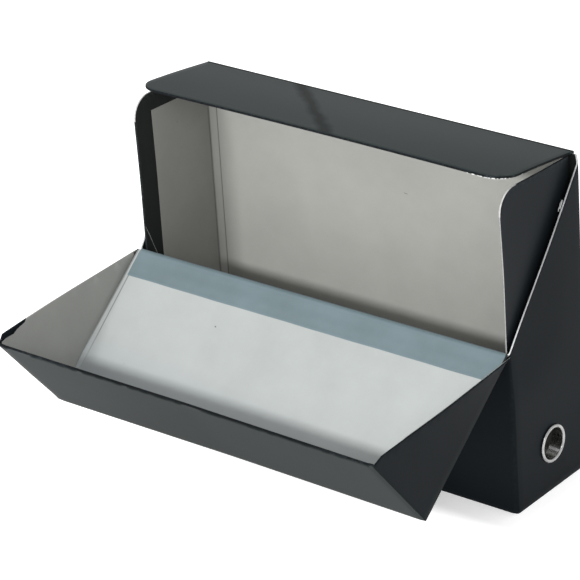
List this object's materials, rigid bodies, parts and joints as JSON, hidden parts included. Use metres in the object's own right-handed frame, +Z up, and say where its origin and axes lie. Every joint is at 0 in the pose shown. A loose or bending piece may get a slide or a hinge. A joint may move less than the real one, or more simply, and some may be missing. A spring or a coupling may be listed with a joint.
{
  "type": "box file",
  "caption": "Foolscap box file in dark paper-covered board with a drop front, full-height inner side walls, a top dust flap and a finger ring.",
  "frame": {"origin": "middle of the footprint on the underside", "axes": "+X along the length towards the end wall with the finger ring, +Y towards the back, +Z up; the drop front opens towards -Y"},
  "size_m": [0.3798, 0.2767, 0.2803],
  "materials": {
    "cover_board": "dark charcoal paper cover with a low sheen, raw grey-white board at cut edges",
    "lining_paper": "matt light grey lining paper with faint mottling",
    "drop_lining_paper": "matt light grey lining paper",
    "hinge_cloth": "matt blue-grey paper cloth",
    "nickel": "bright nickel-plated rolled steel"
  },
  "bodies": {
    "case": {"outer_case": "cover_board", "inner_liner": "cover_board", "liner_lining": "lining_paper", "floor_lining": "lining_paper", "lower_front_lining": "lining_paper", "hinge_tape_lower": "hinge_cloth", "finger_ring": "nickel"},
    "drop_front": {"drop_front_board": "cover_board", "drop_front_lining": "drop_lining_paper", "hinge_tape_upper": "hinge_cloth"},
    "top_flap": {"top_flap_board": "cover_board", "top_flap_lining": "lining_paper"}
  },
  "joints": [
    {"name": "drop_front_hinge", "type": "hinge", "parent": "case", "child": "drop_front", "pos_m": [0, -0.051, 0.1392], "axis": [-1, 0, 0], "range_deg": [-35, 128.4]},
    {"name": "top_flap_crease", "type": "hinge", "parent": "case", "child": "top_flap", "pos_m": [0, 0.0512, 0.2726], "axis": [-1, 0, 0], "range_deg": [-4.7, 175]}
  ]
}
